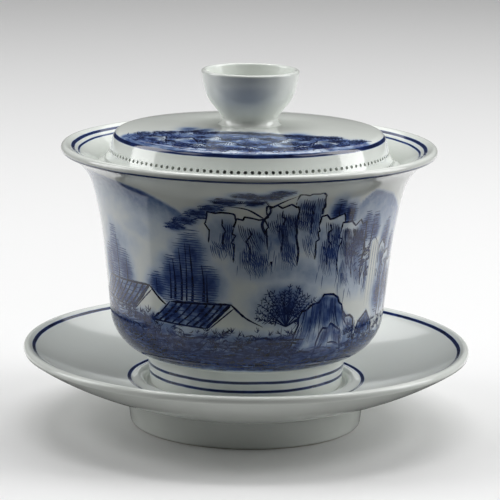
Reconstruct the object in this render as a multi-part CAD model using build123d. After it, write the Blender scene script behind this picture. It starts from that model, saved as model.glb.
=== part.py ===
from build123d import *
from math import asin, cos, degrees, radians, sin, tan
import os

# Porcelain gaiwan: a saucer, a flared bowl that stands in its well, and a pierced filter lid with a knob.
# All sizes are in millimetres. +Z is up and the origin is the centre of the saucer's foot, on the table.
# Every piece is turned, so each is a closed half section (radius, height) revolved about the Z axis.

# Saucer
SAUCER_RADIUS = 58.1           # outermost, at the lip
SAUCER_HEIGHT = 21.0           # table to the top of the lip
SAUCER_LIP = 1.1               # radius of the rounded lip
SAUCER_LIP_ANGLE = 34.0        # slope of the dish and of the underside at the lip, in degrees
DISH_ANGLE = 13.0              # slope of the dish beside the seat ring, in degrees
UNDERSIDE_ANGLE = 17.0         # slope of the underside beside the foot ring, in degrees
SAUCER_FOOT_RADIUS = 31.0      # foot ring, where it meets the underside
SAUCER_FOOT_TAPER = 0.9        # how much smaller the foot ring is at the table
SAUCER_FOOT_HEIGHT = 7.1       # table to the underside of the dish
SAUCER_FOOT_WALL = 3.4         # foot ring, inside to outside
SAUCER_BASE = 4.0              # thickness of the floor under the bowl
WELL_FLOOR = 10.2              # table to the flat floor that the bowl stands on
SEAT_RING_WIDTH = 3.6          # raised ring around the well
SEAT_RING_RISE = 2.0           # top of that ring above the well's floor
SEAT_RING_DROP = 0.7           # top of that ring above the dish beside it
SEAT_RING_CREST = 1.4          # from the well to the top of that ring
SEAT_RING_ANGLE = 6.0          # slope where the dish runs up to that ring, in degrees
WELL_SIDE_ANGLE = 81.0         # slope of the well's side at its floor, in degrees
WELL_CLEARANCE = 0.6           # between the well and the bowl's foot ring, all round

# Bowl
BOWL_HEIGHT = 63.2             # foot to lip
BOWL_RIM_RADIUS = 48.5         # outermost, at the lip
BOWL_WALL = 2.2                # thickness of the wall and of the flare
BOWL_FLARE_BEND = 15.0         # inside radius of the flare's bend
BOWL_LIP_ANGLE = 22.0          # slope of the flare at the lip, in degrees
BOWL_THROAT_ANGLE = 74.0       # slope where the flare meets the wall, in degrees
BOWL_BELLY_RADIUS = 35.4       # outside radius at the bottom of the wall
BOWL_BELLY_ANGLE = 83.0        # slope of the wall there, in degrees
BOWL_BASE_BEND = 11.5          # outside radius of the bend from wall to base
BOWL_BASE_ANGLE = 12.0         # slope of the base where it meets the foot, in degrees
BOWL_FLOOR = 3.6               # thickness of the bowl's floor
BOWL_FLOOR_ANGLE = 26.0        # slope where the floor runs into the bend inside, in degrees
BOWL_FOOT_RADIUS = 25.1        # foot ring at its bottom
BOWL_FOOT_FLARE = 0.7          # how much wider the foot ring is at its top
BOWL_FOOT_HEIGHT = 9.0         # foot ring, bottom to base
BOWL_FOOT_WALL = 3.0           # foot ring, inside to outside
BOWL_RECESS = 3.8              # depth of the hollow inside the foot ring

# Lid
LID_WALL = 1.9                 # thickness of dome, wall and flange
LID_SEAT_ANGLE = 60.0          # slope of the bowl's flare where the flange rests, in degrees
LID_SEAT_GAP = 0.2             # between the flange's edge and the flare
LID_FLANGE_ANGLE = 23.0        # fall of the flange towards its edge, in degrees
LID_COVE_BEND = 4.7            # outside radius of the cove between flange and wall
LID_WALL_ANGLE = 73.0          # slope of the pierced wall, in degrees
LID_WALL_HEIGHT = 4.0          # cove to shoulder
LID_SHOULDER_BEND = 0.5        # inside radius of the bend from wall to dome
LID_DOME_ANGLE = 8.0           # fall of the dome at the shoulder, in degrees
LID_DOME_RISE = 1.6            # knob seat above the dome's edge
HOLE_DIAMETER = 0.9            # filter holes, in two staggered rings
HOLE_COUNT = 132               # in each ring
HOLE_MARGIN = 0.35             # plain wall between the upper ring and the cove
LOWER_HOLES_ANGLE = 50.0       # slope of the cove where the lower ring pierces it, in degrees

# Knob
KNOB_HEIGHT = 14.1             # dome to the knob's lip
KNOB_RADIUS = 12.6             # outermost, at its lip
KNOB_LIP = 0.6                 # radius of the rounded lip
KNOB_WALL = 1.7                # wall halfway down the cup
KNOB_CUP_DEPTH = 9.4           # hollow of the cup
KNOB_NECK_RADIUS = 7.2         # narrowest, above the joint
KNOB_NECK_HEIGHT = 1.7         # dome to the neck
KNOB_SEAT_RADIUS = 8.3         # where the knob is luted to the dome
KNOB_SEAT_ANGLE = 14.0         # slope of the fillet where it leaves the dome, in degrees
KNOB_NECK_ANGLE = 83.0         # slope of the fillet where it reaches the neck, in degrees
KNOB_CUP_ANGLE = 63.0          # slope of the cup above the neck, in degrees
KNOB_SIDE_RADIUS = 10.8        # outside of the cup, part way up
KNOB_SIDE_HEIGHT = 6.7         # dome to that part of the cup
KNOB_LIP_ANGLE = 82.0          # slope of the cup at its lip, in degrees

FOOT_CHAMFER = 0.5             # bevel wiped round both foot rings
FOOT_SIDE_ANGLE = 73.0         # lean of the bowl's foot ring where the base begins, in degrees
BASE_FILLET = 0.6              # hollow where the bowl's base meets its foot ring
RECESS_BEVEL = 1.8             # slope left in the corner of the hollow inside a foot ring
FEATHER = 0.4                  # least rounding of inside corners


def polar(centre, radius, slope):
    """Point on a bend about centre, where the surface above the centre has this slope in degrees."""
    return (centre[0] - radius * sin(radians(slope)), centre[1] + radius * cos(radians(slope)))


def heading(slope):
    """Unit direction, outwards and up, of a surface with this slope in degrees."""
    return (cos(radians(slope)), sin(radians(slope)))


def opposite(direction):
    return (-direction[0], -direction[1])


def turned(draw_section):
    """Revolve the closed section that draw_section draws, as (radius, height), about the Z axis."""
    with BuildPart() as piece:
        with BuildSketch(Plane.XZ):
            with BuildLine():
                draw_section()
            make_face()
        revolve(axis=Axis.Z)
    return piece.part


def save(node, shape):
    """Write one named piece."""
    shape.label = node
    export_step(shape, f"parts/{node}.step")
    print(f"{node}: volume {shape.volume:.0f} mm3")


# ---------------------------------------------------------------- saucer

WELL_RADIUS = BOWL_FOOT_RADIUS + BOWL_FOOT_FLARE + WELL_CLEARANCE
SEAT_RING_TOP = WELL_FLOOR + SEAT_RING_RISE
DISH_START = (WELL_RADIUS + SEAT_RING_WIDTH, SEAT_RING_TOP - SEAT_RING_DROP)
SAUCER_RECESS_TOP = WELL_FLOOR - SAUCER_BASE


def saucer_section():
    lip_centre = (SAUCER_RADIUS - SAUCER_LIP, SAUCER_HEIGHT - SAUCER_LIP)
    lip_inside = polar(lip_centre, SAUCER_LIP, SAUCER_LIP_ANGLE)
    lip_tip = polar(lip_centre, SAUCER_LIP, SAUCER_LIP_ANGLE - 90)
    lip_under = polar(lip_centre, -SAUCER_LIP, SAUCER_LIP_ANGLE)
    foot_top = (SAUCER_FOOT_RADIUS, SAUCER_FOOT_HEIGHT)
    foot_out = SAUCER_FOOT_RADIUS - SAUCER_FOOT_TAPER
    foot_in = foot_out - SAUCER_FOOT_WALL
    ring_top = (WELL_RADIUS + SEAT_RING_CREST, SEAT_RING_TOP)
    well_edge = (WELL_RADIUS, WELL_FLOOR + FEATHER)
    falling_in = opposite(heading(SAUCER_LIP_ANGLE))
    # underneath, from the axis out
    Polyline(
        (0, SAUCER_RECESS_TOP),
        (foot_in - RECESS_BEVEL, SAUCER_RECESS_TOP),
        (foot_in, SAUCER_RECESS_TOP - RECESS_BEVEL),
        (foot_in, FOOT_CHAMFER),
        (foot_in + FOOT_CHAMFER, 0),
        (foot_out - FOOT_CHAMFER, 0),
        (foot_out, FOOT_CHAMFER),
        foot_top,
    )
    Spline(foot_top, lip_under, tangents=(heading(UNDERSIDE_ANGLE), heading(SAUCER_LIP_ANGLE)))
    ThreePointArc(lip_under, lip_tip, lip_inside)
    # the dish, from the lip in, then the seat ring and the well
    Spline(lip_inside, DISH_START, tangents=(falling_in, opposite(heading(DISH_ANGLE))))
    ring_ends = (opposite(heading(-SEAT_RING_ANGLE)), opposite(heading(WELL_SIDE_ANGLE)))
    Spline(DISH_START, ring_top, well_edge, tangents=ring_ends)
    Polyline(
        well_edge,
        (WELL_RADIUS - FEATHER, WELL_FLOOR),
        (0, WELL_FLOOR),
        (0, SAUCER_RECESS_TOP),
    )


# ---------------------------------------------------------------- bowl

BOWL_BOTTOM = WELL_FLOOR
BOWL_TOP = BOWL_BOTTOM + BOWL_HEIGHT
BOWL_LIP = BOWL_WALL / 2       # the lip is a full round
BOWL_LIP_CENTRE = (BOWL_RIM_RADIUS - BOWL_LIP, BOWL_TOP - BOWL_LIP)
# the flare is one bend, inside and outside, about this centre
LIP_INSIDE = polar(BOWL_LIP_CENTRE, BOWL_LIP, BOWL_LIP_ANGLE)
FLARE_CENTRE = polar(LIP_INSIDE, -BOWL_FLARE_BEND, BOWL_LIP_ANGLE)


def bowl_section():
    outer_bend = BOWL_FLARE_BEND - BOWL_WALL
    mid_angle = (BOWL_LIP_ANGLE + BOWL_THROAT_ANGLE) / 2
    base_height = BOWL_BOTTOM + BOWL_FOOT_HEIGHT
    inner_bend = BOWL_BASE_BEND - BOWL_WALL
    bend_centre = (
        BOWL_BELLY_RADIUS - BOWL_BASE_BEND * sin(radians(BOWL_BELLY_ANGLE)),
        base_height + BOWL_BASE_BEND * cos(radians(BOWL_BASE_ANGLE)),
    )
    # the foot ring runs up to the bend, wherever its own radius meets it
    foot_side = BOWL_FOOT_RADIUS + BOWL_FOOT_FLARE
    foot_slope = degrees(asin((foot_side + BASE_FILLET - bend_centre[0]) / BOWL_BASE_BEND))
    base_start = polar(bend_centre, -BOWL_BASE_BEND, foot_slope)
    foot_top = (foot_side, base_start[1] - BASE_FILLET)
    bend_mid = (foot_slope + BOWL_BELLY_ANGLE) / 2
    foot_in = BOWL_FOOT_RADIUS - BOWL_FOOT_WALL
    recess_top = BOWL_BOTTOM + BOWL_RECESS
    floor_top = recess_top + BOWL_FLOOR
    lip_under = polar(FLARE_CENTRE, outer_bend, BOWL_LIP_ANGLE)
    # foot ring, from the axis out
    Polyline(
        (0, recess_top),
        (foot_in - RECESS_BEVEL, recess_top),
        (foot_in, recess_top - RECESS_BEVEL),
        (foot_in, BOWL_BOTTOM + FOOT_CHAMFER),
        (foot_in + FOOT_CHAMFER, BOWL_BOTTOM),
        (BOWL_FOOT_RADIUS - FOOT_CHAMFER, BOWL_BOTTOM),
        (BOWL_FOOT_RADIUS, BOWL_BOTTOM + FOOT_CHAMFER),
        foot_top,
    )
    # outside: base, bend, wall and flare
    wall_start = polar(bend_centre, -BOWL_BASE_BEND, BOWL_BELLY_ANGLE)
    throat = polar(FLARE_CENTRE, outer_bend, BOWL_THROAT_ANGLE)
    Spline(foot_top, base_start, tangents=(heading(FOOT_SIDE_ANGLE), heading(foot_slope)))
    ThreePointArc(base_start, polar(bend_centre, -BOWL_BASE_BEND, bend_mid), wall_start)
    Spline(wall_start, throat, tangents=(heading(BOWL_BELLY_ANGLE), heading(BOWL_THROAT_ANGLE)))
    ThreePointArc(throat, polar(FLARE_CENTRE, outer_bend, mid_angle), lip_under)
    # lip
    lip_tip = polar(BOWL_LIP_CENTRE, BOWL_LIP, BOWL_LIP_ANGLE - 90)
    ThreePointArc(lip_under, lip_tip, LIP_INSIDE)
    # inside: flare, wall, bend and floor
    throat_in = polar(FLARE_CENTRE, BOWL_FLARE_BEND, BOWL_THROAT_ANGLE)
    wall_in = polar(bend_centre, -inner_bend, BOWL_BELLY_ANGLE)
    floor_edge = polar(bend_centre, -inner_bend, BOWL_FLOOR_ANGLE)
    inner_mid = (BOWL_FLOOR_ANGLE + BOWL_BELLY_ANGLE) / 2
    ThreePointArc(LIP_INSIDE, polar(FLARE_CENTRE, BOWL_FLARE_BEND, mid_angle), throat_in)
    Spline(
        throat_in,
        wall_in,
        tangents=(opposite(heading(BOWL_THROAT_ANGLE)), opposite(heading(BOWL_BELLY_ANGLE))),
    )
    ThreePointArc(wall_in, polar(bend_centre, -inner_bend, inner_mid), floor_edge)
    Spline(floor_edge, (0, floor_top), tangents=(opposite(heading(BOWL_FLOOR_ANGLE)), (-1, 0)))
    Line((0, floor_top), (0, recess_top))


# ---------------------------------------------------------------- lid

LID_EDGE = LID_WALL / 2        # the flange's edge is a full round
EDGE_CENTRE = polar(FLARE_CENTRE, BOWL_FLARE_BEND + LID_SEAT_GAP + LID_EDGE, LID_SEAT_ANGLE)
# the cove and the shoulder are one bend each, inside and outside, and the wall runs between them
COVE_CENTRE = polar(EDGE_CENTRE, LID_EDGE + LID_COVE_BEND, -LID_FLANGE_ANGLE)
COVE_TOP = polar(COVE_CENTRE, -LID_COVE_BEND, -LID_WALL_ANGLE)
WALL_LEAN = LID_WALL_HEIGHT / tan(radians(LID_WALL_ANGLE))
SHOULDER = (COVE_TOP[0] - WALL_LEAN, COVE_TOP[1] + LID_WALL_HEIGHT)
SHOULDER_OUTSIDE = LID_SHOULDER_BEND + LID_WALL
SHOULDER_CENTRE = polar(SHOULDER, -SHOULDER_OUTSIDE, -LID_WALL_ANGLE)
DOME_EDGE = polar(SHOULDER_CENTRE, SHOULDER_OUTSIDE, -LID_DOME_ANGLE)
KNOB_SEAT_HEIGHT = DOME_EDGE[1] + LID_DOME_RISE
COVE_INSIDE = LID_COVE_BEND + LID_WALL
HOLE_STEP = 360 / HOLE_COUNT   # from one hole to the next, in degrees


def dome_section():
    """Dome and pierced wall, down to where the cove begins."""
    falling = heading(-LID_DOME_ANGLE)
    shoulder_mid = -(LID_DOME_ANGLE + LID_WALL_ANGLE) / 2
    cove_top = polar(COVE_CENTRE, -COVE_INSIDE, -LID_WALL_ANGLE)
    wall_top = polar(SHOULDER_CENTRE, LID_SHOULDER_BEND, -LID_WALL_ANGLE)
    dome_edge = polar(SHOULDER_CENTRE, LID_SHOULDER_BEND, -LID_DOME_ANGLE)
    dome_top = (0, KNOB_SEAT_HEIGHT - LID_WALL)
    Line((0, KNOB_SEAT_HEIGHT), (KNOB_SEAT_RADIUS, KNOB_SEAT_HEIGHT))
    Spline((KNOB_SEAT_RADIUS, KNOB_SEAT_HEIGHT), DOME_EDGE, tangents=((1, 0), falling))
    ThreePointArc(DOME_EDGE, polar(SHOULDER_CENTRE, SHOULDER_OUTSIDE, shoulder_mid), SHOULDER)
    Polyline(SHOULDER, COVE_TOP, cove_top, wall_top)
    ThreePointArc(wall_top, polar(SHOULDER_CENTRE, LID_SHOULDER_BEND, shoulder_mid), dome_edge)
    Spline(dome_edge, dome_top, tangents=(opposite(falling), (-1, 0)))
    Line(dome_top, (0, KNOB_SEAT_HEIGHT))


def flange_section():
    """Cove and flange, out to the round edge."""
    cove_mid = -(LID_FLANGE_ANGLE + LID_WALL_ANGLE) / 2
    cove_top = polar(COVE_CENTRE, -COVE_INSIDE, -LID_WALL_ANGLE)
    edge_up = polar(EDGE_CENTRE, LID_EDGE, -LID_FLANGE_ANGLE)
    edge_tip = polar(EDGE_CENTRE, LID_EDGE, -LID_FLANGE_ANGLE - 90)
    edge_down = polar(EDGE_CENTRE, -LID_EDGE, -LID_FLANGE_ANGLE)
    ThreePointArc(COVE_TOP, polar(COVE_CENTRE, -LID_COVE_BEND, cove_mid), edge_up)
    ThreePointArc(edge_up, edge_tip, edge_down)
    ThreePointArc(edge_down, polar(COVE_CENTRE, -COVE_INSIDE, cove_mid), cove_top)
    Line(cove_top, COVE_TOP)


def hole_ring(middle, slope):
    """A ring of pins square to the wall at middle, where the wall falls with this slope in degrees."""
    square = Plane(origin=(middle[0], 0, middle[1]), z_dir=(sin(radians(slope)), 0, cos(radians(slope))))
    pin = square.location * Cylinder(HOLE_DIAMETER / 2, 2 * LID_WALL)
    return [Rot(0, 0, (number + 0.5) * HOLE_STEP) * pin for number in range(HOLE_COUNT)]


def pierced_lid():
    """The upper ring of holes pierces the wall, and the lower ring, half a step round, the cove."""
    rise = HOLE_DIAMETER / 2 + HOLE_MARGIN
    lean = radians(LID_WALL_ANGLE)
    upper_outside = (COVE_TOP[0] - rise * cos(lean), COVE_TOP[1] + rise * sin(lean))
    upper_middle = polar(upper_outside, -LID_WALL / 2, -LID_WALL_ANGLE)
    lower_middle = polar(COVE_CENTRE, -LID_COVE_BEND - LID_WALL / 2, -LOWER_HOLES_ANGLE)
    dome = turned(dome_section) - hole_ring(upper_middle, LID_WALL_ANGLE)
    flange = turned(flange_section) - hole_ring(lower_middle, LOWER_HOLES_ANGLE)
    return dome + Rot(0, 0, HOLE_STEP / 2) * flange


# ---------------------------------------------------------------- knob

KNOB_TOP = KNOB_SEAT_HEIGHT + KNOB_HEIGHT


def knob_section():
    lip_centre = (KNOB_RADIUS - KNOB_LIP, KNOB_TOP - KNOB_LIP)
    lip_outside = (KNOB_RADIUS, lip_centre[1])
    neck = (KNOB_NECK_RADIUS, KNOB_SEAT_HEIGHT + KNOB_NECK_HEIGHT)
    side = (KNOB_SIDE_RADIUS, KNOB_SEAT_HEIGHT + KNOB_SIDE_HEIGHT)
    cup_floor = KNOB_TOP - KNOB_CUP_DEPTH
    cup_side = (side[0] - KNOB_WALL, side[1])
    lip_inside = (lip_centre[0] - KNOB_LIP, lip_centre[1])
    Line((0, KNOB_SEAT_HEIGHT), (KNOB_SEAT_RADIUS, KNOB_SEAT_HEIGHT))
    fillet_ends = (opposite(heading(-KNOB_SEAT_ANGLE)), heading(KNOB_NECK_ANGLE))
    rising = heading(KNOB_LIP_ANGLE)
    Spline((KNOB_SEAT_RADIUS, KNOB_SEAT_HEIGHT), neck, tangents=fillet_ends)
    Spline(neck, side, lip_outside, tangents=(heading(KNOB_CUP_ANGLE), rising))
    ThreePointArc(lip_outside, (lip_centre[0], KNOB_TOP), lip_inside)
    Spline(lip_inside, cup_side, (0, cup_floor), tangents=(opposite(rising), (-1, 0)))
    Line((0, cup_floor), (0, KNOB_SEAT_HEIGHT))


os.makedirs("parts", exist_ok=True)
save("saucer", turned(saucer_section))
save("bowl", turned(bowl_section))
save("lid", pierced_lid())
save("lid_knob", turned(knob_section))
print(f"saucer {2 * SAUCER_RADIUS:.1f} across, bowl {2 * BOWL_RIM_RADIUS:.1f} across, {KNOB_TOP:.1f} tall")
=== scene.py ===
# %% [markdown]
# A gaiwan is a lidded porcelain tea bowl that stands in a saucer. This one has a lid pierced with fine holes
# and a landscape brushed in cobalt blue under a clear glaze. The solid model gives the frame: every piece
# here is built in metres where that model puts it, rides on the same moving body, and stays inside the same
# box.

# %% Load the frame
import math

import bmesh
import bpy
import numpy as np
from mathutils import Matrix, Vector


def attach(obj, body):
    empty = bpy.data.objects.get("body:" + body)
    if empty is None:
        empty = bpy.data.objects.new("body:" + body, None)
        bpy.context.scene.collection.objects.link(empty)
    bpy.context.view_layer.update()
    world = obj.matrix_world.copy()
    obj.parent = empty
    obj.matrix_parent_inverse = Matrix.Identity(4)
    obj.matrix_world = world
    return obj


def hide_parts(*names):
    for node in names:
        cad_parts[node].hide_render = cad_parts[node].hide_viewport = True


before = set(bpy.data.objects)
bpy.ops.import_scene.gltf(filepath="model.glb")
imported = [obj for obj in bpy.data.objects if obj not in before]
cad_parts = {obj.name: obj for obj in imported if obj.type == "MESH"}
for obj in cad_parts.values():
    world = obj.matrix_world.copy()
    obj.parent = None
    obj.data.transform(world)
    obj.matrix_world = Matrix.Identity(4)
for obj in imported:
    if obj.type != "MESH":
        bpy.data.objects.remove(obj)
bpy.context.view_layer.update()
MM = 0.001

# %% [markdown]
# Porcelain is thrown on a wheel and then turned, so a piece is one half section taken round an axis. A
# section is drawn here as (radius, height) points in millimetres, from straights, bends about a centre, and
# smooth runs that leave and arrive at a given slope. The bends are cheap to change and stay exactly tangent.


# %% Drawing a half section
def polar(centre, radius, slope):
    """Point on a bend, where the surface above the centre has this slope in degrees."""
    angle = math.radians(slope)
    return (centre[0] - radius * math.sin(angle), centre[1] + radius * math.cos(angle))


def bend(centre, radius, start, end, step=0.6):
    """Points along a bend from one slope to another."""
    length = abs(radius) * math.radians(abs(end - start))
    count = max(6, round(length / step))
    return [polar(centre, radius, start + (end - start) * i / count) for i in range(count + 1)]


def straight(start, end, step=1.2):
    """Points along a straight run."""
    count = max(1, round(math.dist(start, end) / step))
    return [tuple(np.array(start) + (np.array(end) - np.array(start)) * i / count) for i in range(count + 1)]


def smooth(points, first, last, step=0.6):
    """Points along a smooth run through two or three points, leaving and arriving at slopes in degrees."""
    p = np.array(points, float)
    unit = [np.array([math.cos(math.radians(a)), math.sin(math.radians(a))]) for a in (first, last)]
    spans = np.linalg.norm(np.diff(p, axis=0), axis=1)
    speed = [unit[0], unit[1]]
    if len(p) == 3:
        a, b = spans
        rate = 3 * (b * (p[1] - p[0]) / a + a * (p[2] - p[1]) / b)
        speed.insert(1, (rate - b * unit[0] - a * unit[1]) / (2 * (a + b)))
    out = []
    for i, span in enumerate(spans):
        t = np.linspace(0, 1, max(6, round(span / step)) + 1)[:, None]
        out += list(
            (2 * t**3 - 3 * t**2 + 1) * p[i]
            + (t**3 - 2 * t**2 + t) * span * speed[i]
            + (3 * t**2 - 2 * t**3) * p[i + 1]
            + (t**3 - t**2) * span * speed[i + 1]
        )
    return [tuple(q) for q in out]


def softened(points, radius=0.35, least_turn=12):
    """Drops doubled points and eases each sharp corner, as a wet sponge does."""
    clean = [points[0]]
    for p in points[1:]:
        if math.dist(p, clean[-1]) > 0.02:
            clean.append(p)
    out = [clean[0]]
    for before, corner, after in zip(clean, clean[1:], clean[2:]):
        a, c, b = np.array(before), np.array(corner), np.array(after)
        run_in, run_out = c - a, b - c
        cosine = run_in @ run_out / (np.linalg.norm(run_in) * np.linalg.norm(run_out))
        if math.degrees(math.acos(max(-1, min(1, cosine)))) < least_turn:
            out.append(corner)
            continue
        ease = min(radius, 0.45 * np.linalg.norm(run_in), 0.45 * np.linalg.norm(run_out))
        start = c - run_in / np.linalg.norm(run_in) * ease
        end = c + run_out / np.linalg.norm(run_out) * ease
        for t in np.linspace(0, 1, 6):
            out.append(tuple((1 - t) ** 2 * start + 2 * t * (1 - t) * c + t**2 * end))
    return out + [clean[-1]]


# %% [markdown]
# Each section starts on the axis on top, runs out and down the piece, and comes back to the axis underneath.
# The sizes are those of the solid model. The bowl's flare, and the lid's cove that drops into it, are bends
# about one centre each, so wall thickness is the difference of two radii.

# %% Section of the saucer
LIP = (57.0, 19.9)
LIP_RADIUS = 1.1
LIP_SLOPE = 34
SAUCER = softened(
    straight((0, 10.2), (26.0, 10.2))
    + smooth([(26.4, 10.6), (27.8, 12.2), (30.0, 11.5)], 81, -6, 0.4)
    + smooth([(30.0, 11.5), polar(LIP, LIP_RADIUS, LIP_SLOPE)], 13, LIP_SLOPE)
    + bend(LIP, LIP_RADIUS, LIP_SLOPE, LIP_SLOPE - 90, 0.15)
    + bend(LIP, LIP_RADIUS, LIP_SLOPE - 90, LIP_SLOPE - 180, 0.15)
    + smooth([polar(LIP, -LIP_RADIUS, LIP_SLOPE), (31.0, 7.1)], LIP_SLOPE + 180, 197)
    + straight((31.0, 7.1), (30.1, 0.5))
    + straight((29.6, 0), (27.2, 0))
    + straight((26.7, 0.5), (26.7, 4.4))
    + straight((24.9, 6.2), (0, 6.2))
)
print("saucer section:", len(SAUCER), "points")

# %% Section of the bowl
BOWL_WALL = 2.2
FLARE, FLARE_BEND = (52.607, 59.412), 12.8
BASE, BASE_BEND = (23.986, 30.449), 11.5
BOWL_LIP = (47.4, 72.3)
RIM_SLOPE, SIDE_SLOPE, BELLY_SLOPE = 22, 74, 83
FLARE_INSIDE = FLARE_BEND + BOWL_WALL
BASE_INSIDE = BASE_BEND - BOWL_WALL
OUTSIDE = (
    bend(FLARE, FLARE_BEND, RIM_SLOPE, SIDE_SLOPE)
    + smooth(
        [polar(FLARE, FLARE_BEND, SIDE_SLOPE), polar(BASE, -BASE_BEND, BELLY_SLOPE)],
        SIDE_SLOPE + 180,
        BELLY_SLOPE + 180,
    )
    + bend(BASE, -BASE_BEND, BELLY_SLOPE, 12.1)
)
BOWL = softened(
    smooth([(0, 17.6), polar(BASE, -BASE_INSIDE, 26)], 0, 26, 1.2)
    + bend(BASE, -BASE_INSIDE, 26, BELLY_SLOPE, 1.0)
    + smooth(
        [polar(BASE, -BASE_INSIDE, BELLY_SLOPE), polar(FLARE, FLARE_INSIDE, SIDE_SLOPE)],
        BELLY_SLOPE,
        SIDE_SLOPE,
        1.2,
    )
    + bend(FLARE, FLARE_INSIDE, SIDE_SLOPE, RIM_SLOPE)
    + bend(BOWL_LIP, LIP_RADIUS, RIM_SLOPE, RIM_SLOPE - 90, 0.15)
    + bend(BOWL_LIP, LIP_RADIUS, RIM_SLOPE - 90, RIM_SLOPE - 180, 0.15)
    + OUTSIDE
    + straight((25.8, 18.6), (25.1, 10.7), 0.8)
    + straight((24.6, 10.2), (22.6, 10.2))
    + straight((22.1, 10.7), (22.1, 12.2))
    + straight((20.3, 14.0), (0, 14.0))
)
print("bowl section:", len(BOWL), "points")

# %% Section of the lid
LID_WALL = 1.9
COVE, COVE_BEND = (40.828, 72.688), 4.7
SHOULDER, SHOULDER_BEND = (32.816, 74.612), 2.4
EDGE = (38.621, 67.487)
DOME_SLOPE, WALL_SLOPE, FLANGE_SLOPE = -8, -73, -23
SEAT, SEAT_RADIUS = 78.589, 8.3
COVE_INSIDE = COVE_BEND + LID_WALL
SHOULDER_INSIDE = SHOULDER_BEND - LID_WALL
LID = softened(
    straight((0, SEAT), (SEAT_RADIUS, SEAT))
    + smooth([(SEAT_RADIUS, SEAT), polar(SHOULDER, SHOULDER_BEND, DOME_SLOPE)], 0, DOME_SLOPE)
    + bend(SHOULDER, SHOULDER_BEND, DOME_SLOPE, WALL_SLOPE, 0.3)
    + straight(polar(SHOULDER, SHOULDER_BEND, WALL_SLOPE), polar(COVE, -COVE_BEND, WALL_SLOPE), 0.7)
    + bend(COVE, -COVE_BEND, WALL_SLOPE, FLANGE_SLOPE)
    + bend(EDGE, LID_WALL / 2, FLANGE_SLOPE, FLANGE_SLOPE - 180, 0.3)
    + bend(COVE, -COVE_INSIDE, FLANGE_SLOPE, WALL_SLOPE)
    + straight(polar(COVE, -COVE_INSIDE, WALL_SLOPE), polar(SHOULDER, SHOULDER_INSIDE, WALL_SLOPE), 0.7)
    + bend(SHOULDER, SHOULDER_INSIDE, WALL_SLOPE, DOME_SLOPE, 0.15)
    + smooth([polar(SHOULDER, SHOULDER_INSIDE, DOME_SLOPE), (0, SEAT - LID_WALL)], DOME_SLOPE + 180, 180, 1.2)
)
print("lid section:", len(LID), "points")

# %% Section of the knob
KNOB_TOP = SEAT + 14.1
KNOB_LIP_RADIUS = 0.6
KNOB_LIP = (12.0, KNOB_TOP - KNOB_LIP_RADIUS)
KNOB = softened(
    smooth([(0, KNOB_TOP - 9.4), (9.1, SEAT + 6.7), (11.4, KNOB_LIP[1])], 0, 82, 0.5)
    + bend(KNOB_LIP, KNOB_LIP_RADIUS, 90, -90, 0.12)
    + smooth([(12.6, KNOB_LIP[1]), (10.8, SEAT + 6.7), (7.2, SEAT + 1.7)], 262, 243, 0.5)
    + smooth([(7.2, SEAT + 1.7), (SEAT_RADIUS, SEAT)], 263, -14, 0.25)
    + straight((SEAT_RADIUS, SEAT), (0, SEAT))
)
print("knob section:", len(KNOB), "points")

# %% [markdown]
# The wheel itself is a node tree. A flat grid has the section along one side and the turn along the other;
# each of its points is moved to the section's radius and height, swung round by its place in the turn, and
# the seam and the poles are merged. It is a tree, not a Spin, so the number of steps stays a named input,
# and the distance along the section is stored on the way for the glaze to read.


# %% Small helpers for node trees
def add(tree, kind, inputs=None, **settings):
    """Adds a node, sets it up, and fills its inputs with values or links."""
    node = tree.nodes.new(kind)
    for name, value in settings.items():
        setattr(node, name, value)
    for slot, value in (inputs or {}).items():
        if isinstance(value, bpy.types.NodeSocket):
            tree.links.new(value, node.inputs[slot])
        else:
            node.inputs[slot].default_value = value
    return node


def calc(tree, operation, a, b=0.0, c=0.0):
    """A math node's result."""
    return add(tree, "ShaderNodeMath", {0: a, 1: b, 2: c}, operation=operation).outputs[0]


def new_tree(name, sockets):
    """An empty Geometry Nodes tree with these named inputs and one geometry output."""
    tree = bpy.data.node_groups.new(name, "GeometryNodeTree")
    tree.interface.new_socket("Geometry", in_out="INPUT", socket_type="NodeSocketGeometry")
    for title, kind in sockets:
        tree.interface.new_socket(title, in_out="INPUT", socket_type=kind)
    tree.interface.new_socket("Geometry", in_out="OUTPUT", socket_type="NodeSocketGeometry")
    return tree


def swung(tree, radius, angle, height):
    """A point at this radius and height, swung round the axis."""
    x = calc(tree, "MULTIPLY", radius, calc(tree, "COSINE", angle))
    y = calc(tree, "MULTIPLY", radius, calc(tree, "SINE", angle))
    return add(tree, "ShaderNodeCombineXYZ", {0: x, 1: y, 2: height}).outputs[0]


def send_out(tree, shape, glaze):
    """Ends a tree: the shape leaves it as one real mesh in its glaze."""
    real = add(tree, "GeometryNodeRealizeInstances", {"Geometry": shape}).outputs[0]
    coated = add(tree, "GeometryNodeSetMaterial", {"Geometry": real, "Material": glaze}).outputs[0]
    add(tree, "NodeGroupOutput", {"Geometry": coated})


def run_tree(obj, tree, values):
    """Puts the tree on the object, sets its named inputs, and keeps the result as a plain mesh."""
    modifier = obj.modifiers.new(tree.name, "NODES")
    modifier.node_group = tree
    for item in tree.interface.items_tree:
        if item.item_type == "SOCKET" and item.in_out == "INPUT" and item.name in values:
            modifier[item.identifier] = values[item.name]
    bpy.context.view_layer.update()
    graph = bpy.context.evaluated_depsgraph_get()
    mesh = bpy.data.meshes.new_from_object(obj.evaluated_get(graph))
    obj.modifiers.remove(modifier)
    obj.data = mesh
    return obj


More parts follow.
